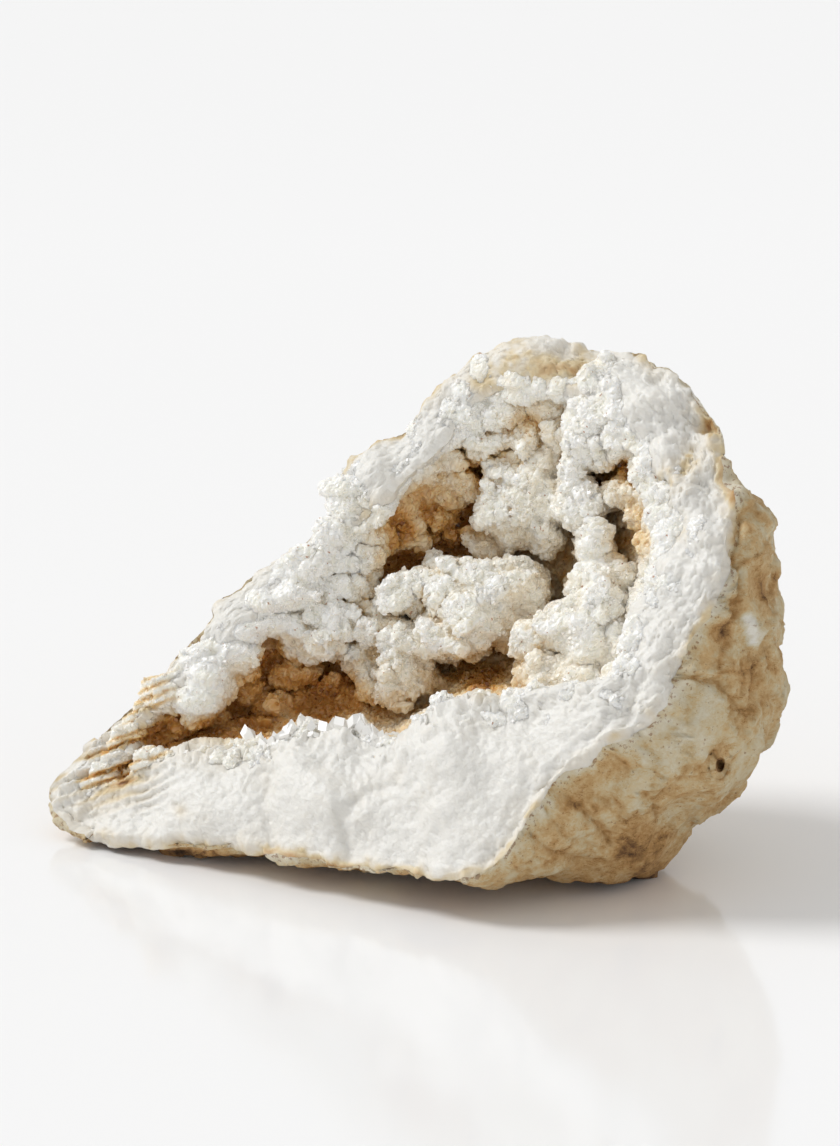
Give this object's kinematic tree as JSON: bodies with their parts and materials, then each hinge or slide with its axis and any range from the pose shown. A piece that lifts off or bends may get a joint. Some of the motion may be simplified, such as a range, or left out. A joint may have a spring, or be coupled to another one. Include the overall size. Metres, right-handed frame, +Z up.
{
  "type": "calcite geode half",
  "caption": "Broken half of a rough limestone geode whose hollow is lined with white calcite crystals, lying on its rounded back as a display stone.",
  "frame": {"origin": "on the surface it rests on, under the middle of its box", "axes": "+Z up, the hollow opens towards -Y and +Z, +X to the right as seen by someone looking into the hollow; X is the longest extent"},
  "size_m": [0.2044, 0.1342, 0.1394],
  "materials": {
    "stone_wall": "weathered tan rind, rough white calcite where it broke",
    "crystal_crust": "sugary white calcite druse with iron stains"
  },
  "bodies": {
    "root": {"stone_wall": "stone_wall", "crystal_crust": "crystal_crust"}
  },
  "joints": []
}
